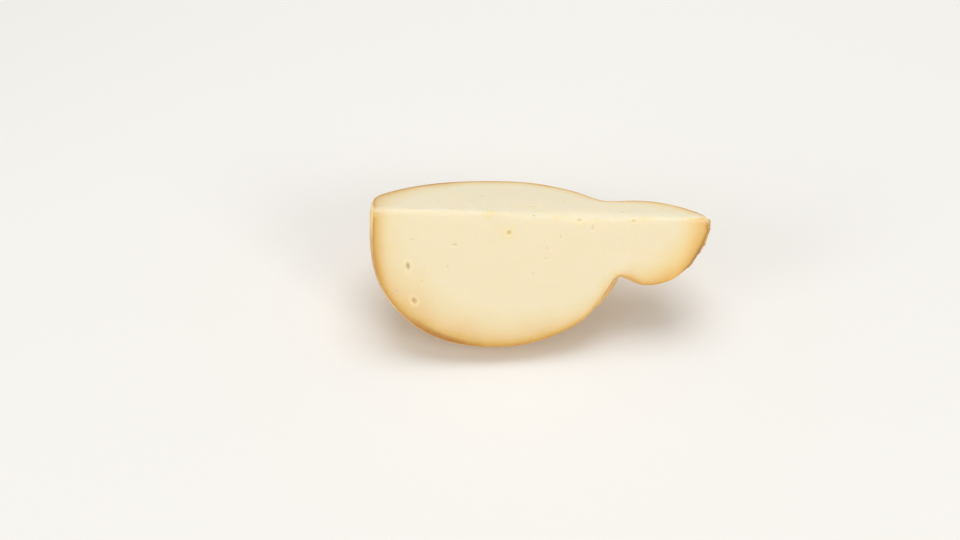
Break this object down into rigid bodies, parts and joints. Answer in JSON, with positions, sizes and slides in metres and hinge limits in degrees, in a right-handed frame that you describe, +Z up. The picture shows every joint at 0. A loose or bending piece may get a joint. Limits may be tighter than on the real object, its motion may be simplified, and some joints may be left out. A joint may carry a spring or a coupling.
{
  "type": "aged caciocavallo cheese quarter",
  "caption": "Lengthwise quarter of a flask-shaped stretched-curd cheese, with a belly, a drawn-in neck and a round head, two flat cuts and a thin golden rind it lies on.",
  "frame": {"origin": "centre of the bounding box's bottom, on the surface that the piece rests on", "axes": "+X along the cheese towards its head, +Z up, the steeper cut facing -Y"},
  "size_m": [0.1942, 0.1136, 0.0861],
  "materials": {
    "cheese": "semi-hard curd, ivory on the cuts and golden at the rind, satin"
  },
  "bodies": {
    "root": {"cheese_quarter": "cheese"}
  },
  "joints": []
}
